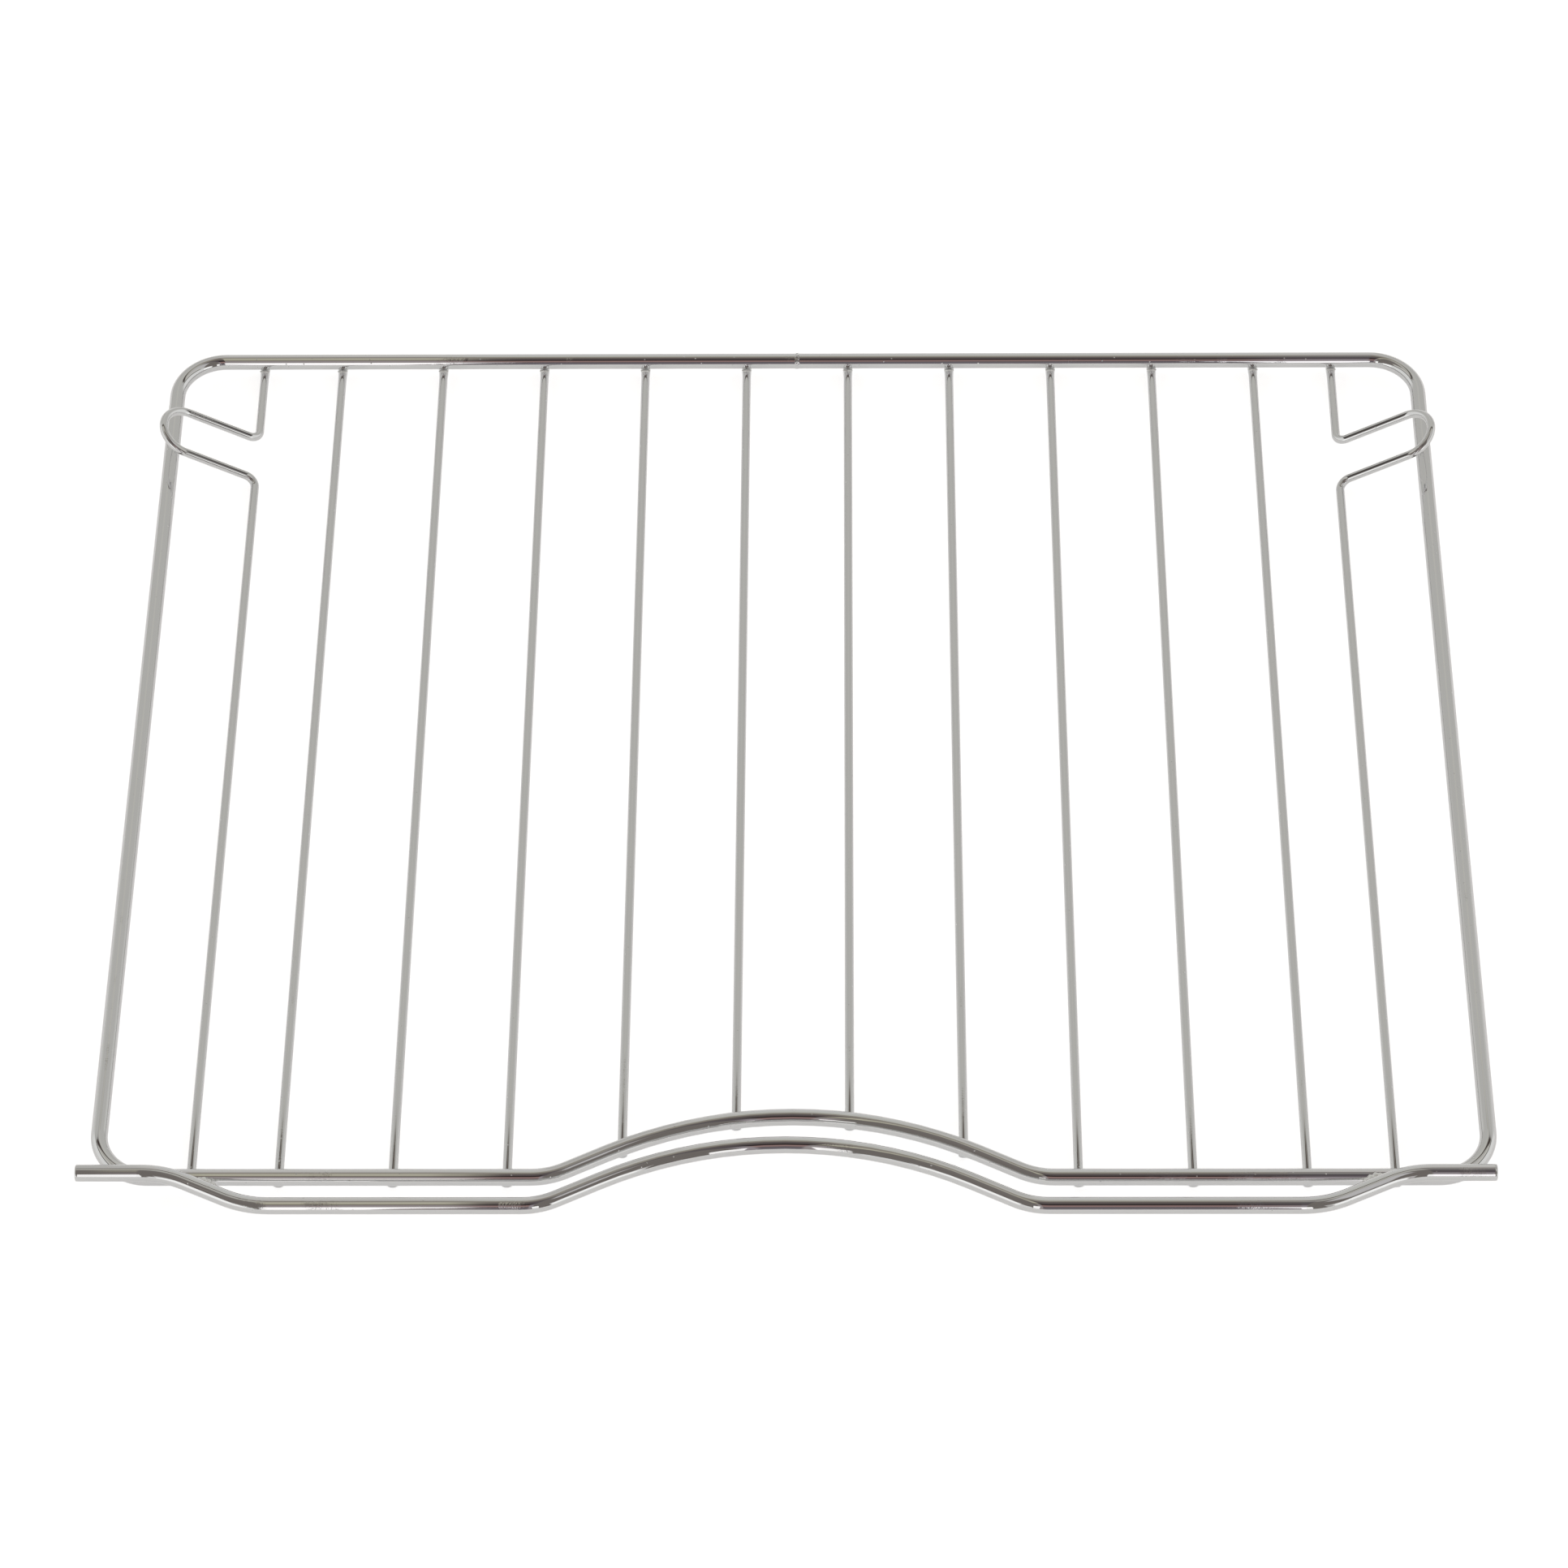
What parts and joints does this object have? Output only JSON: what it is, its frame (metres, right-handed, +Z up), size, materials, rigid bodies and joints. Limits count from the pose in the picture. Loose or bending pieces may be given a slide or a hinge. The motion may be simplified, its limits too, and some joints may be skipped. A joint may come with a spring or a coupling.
{
  "type": "oven shelf rack",
  "caption": "Chrome-plated steel wire oven shelf: a thick bent frame with an arched front rail and bar, straight grid wires, and rear stop loops that lean over the side rails.",
  "frame": {"origin": "on the surface that the shelf lies on, below the middle of its frame and of its whole depth", "axes": "+X to the right as the user faces the oven, +Y into the oven, +Z up"},
  "size_m": [0.4593, 0.3773, 0.0224],
  "materials": {
    "chrome_wire": "bright chrome plating on drawn steel wire"
  },
  "bodies": {
    "root": {"outer_frame": "chrome_wire", "front_bar": "chrome_wire", "grid_wire_01": "chrome_wire", "grid_wire_02": "chrome_wire", "grid_wire_03": "chrome_wire", "grid_wire_04": "chrome_wire", "grid_wire_05": "chrome_wire", "grid_wire_06": "chrome_wire", "grid_wire_07": "chrome_wire", "grid_wire_08": "chrome_wire", "grid_wire_09": "chrome_wire", "grid_wire_10": "chrome_wire", "left_stop_wire": "chrome_wire", "right_stop_wire": "chrome_wire"}
  },
  "joints": []
}
